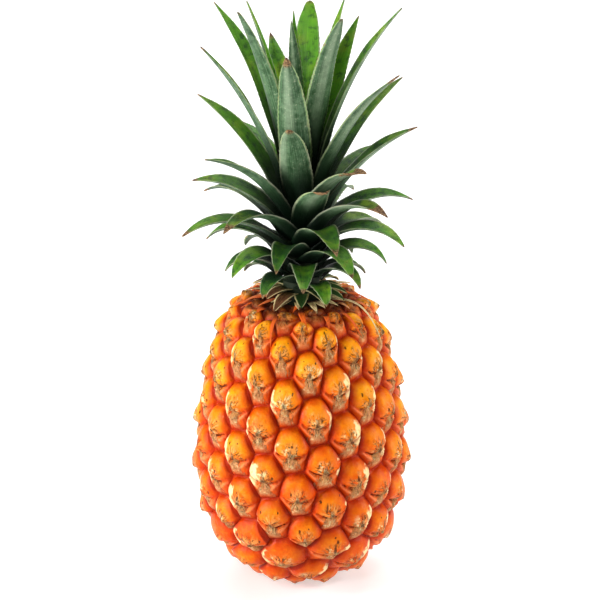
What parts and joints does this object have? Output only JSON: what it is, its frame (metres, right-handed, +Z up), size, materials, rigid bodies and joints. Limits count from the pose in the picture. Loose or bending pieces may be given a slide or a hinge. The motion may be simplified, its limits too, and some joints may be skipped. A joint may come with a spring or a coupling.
{
  "type": "pineapple",
  "caption": "Ripe pineapple standing upright: orange fruit covered in bulging spiral eyes with dry pointed beaks, and a crown of arching green leaves.",
  "frame": {"origin": "on the fruit's axis, at the middle of the flat spot under the fruit that it stands on", "axes": "+Z up along the fruit's axis towards the crown, -Y towards the front seen in the picture, +X to the right in that view"},
  "size_m": [0.1138, 0.1114, 0.2972],
  "materials": {
    "skin": "waxy ripe pineapple skin, yellow-orange domes with red-orange grooves and dry tan bracts",
    "stalk": "dry cut fibrous stalk",
    "stem": "pale green to papery brown small leaves round the foot of the crown",
    "leaf": "stiff waxy green leaves with a dull bloom, pale edges and dry tips"
  },
  "bodies": {
    "root": {"fruit": "skin", "stalk": "stalk", "crown_stem": "stem", "crown_leaf_01": "leaf", "crown_leaf_02": "leaf", "crown_leaf_03": "leaf", "crown_leaf_04": "leaf", "crown_leaf_05": "leaf", "crown_leaf_06": "leaf", "crown_leaf_07": "leaf", "crown_leaf_08": "leaf", "crown_leaf_09": "leaf", "crown_leaf_10": "leaf", "crown_leaf_11": "leaf", "crown_leaf_12": "leaf", "crown_leaf_13": "leaf", "crown_leaf_14": "leaf", "crown_leaf_15": "leaf", "crown_leaf_16": "leaf", "crown_leaf_17": "leaf", "crown_leaf_18": "leaf", "crown_leaf_19": "leaf", "crown_leaf_20": "leaf", "crown_leaf_21": "leaf", "crown_leaf_22": "leaf", "crown_leaf_23": "leaf", "crown_leaf_24": "leaf", "crown_leaf_25": "leaf", "crown_leaf_26": "leaf", "crown_leaf_27": "leaf", "crown_leaf_28": "leaf", "crown_leaf_29": "leaf", "crown_leaf_30": "leaf", "crown_leaf_31": "leaf", "crown_leaf_32": "leaf", "crown_leaf_33": "leaf", "crown_leaf_34": "leaf", "crown_leaf_35": "leaf", "crown_leaf_36": "leaf", "crown_leaf_37": "leaf", "crown_leaf_38": "leaf", "crown_leaf_39": "leaf", "crown_leaf_40": "leaf", "crown_leaf_41": "leaf", "crown_leaf_42": "leaf", "crown_leaf_43": "leaf", "crown_leaf_44": "leaf", "crown_leaf_45": "leaf", "crown_leaf_46": "leaf", "crown_leaf_47": "leaf", "crown_leaf_48": "leaf", "crown_leaf_49": "leaf", "crown_leaf_50": "leaf", "crown_leaf_51": "leaf", "crown_leaf_52": "leaf"}
  },
  "joints": []
}
